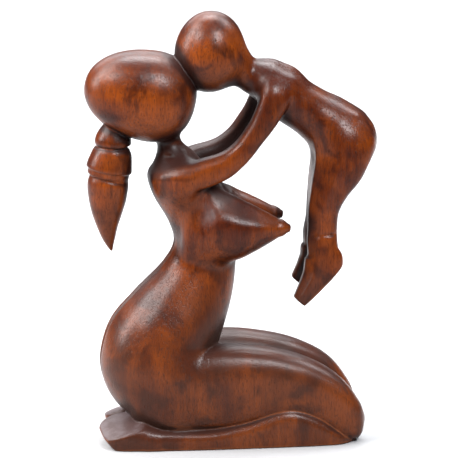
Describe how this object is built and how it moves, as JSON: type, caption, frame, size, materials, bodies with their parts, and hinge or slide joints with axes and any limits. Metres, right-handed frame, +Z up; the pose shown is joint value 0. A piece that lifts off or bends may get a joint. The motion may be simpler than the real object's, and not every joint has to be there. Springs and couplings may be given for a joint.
{
  "type": "wooden mother and child statuette",
  "caption": "Carved and waxed wooden figure group: a kneeling woman with a hanging tail of hair lifts her child until their foreheads touch.",
  "frame": {"origin": "centre of the bounding box's bottom, on the flat underside", "axes": "+X the way the mother faces, +Y to her left, +Z up"},
  "size_m": [0.201, 0.0854, 0.2978],
  "materials": {
    "waxed_wood": "stained reddish brown and waxed, fine upright grain, glossy on the round masses, darker in the hollows"
  },
  "bodies": {
    "root": {"mother_and_child": "waxed_wood"}
  },
  "joints": []
}
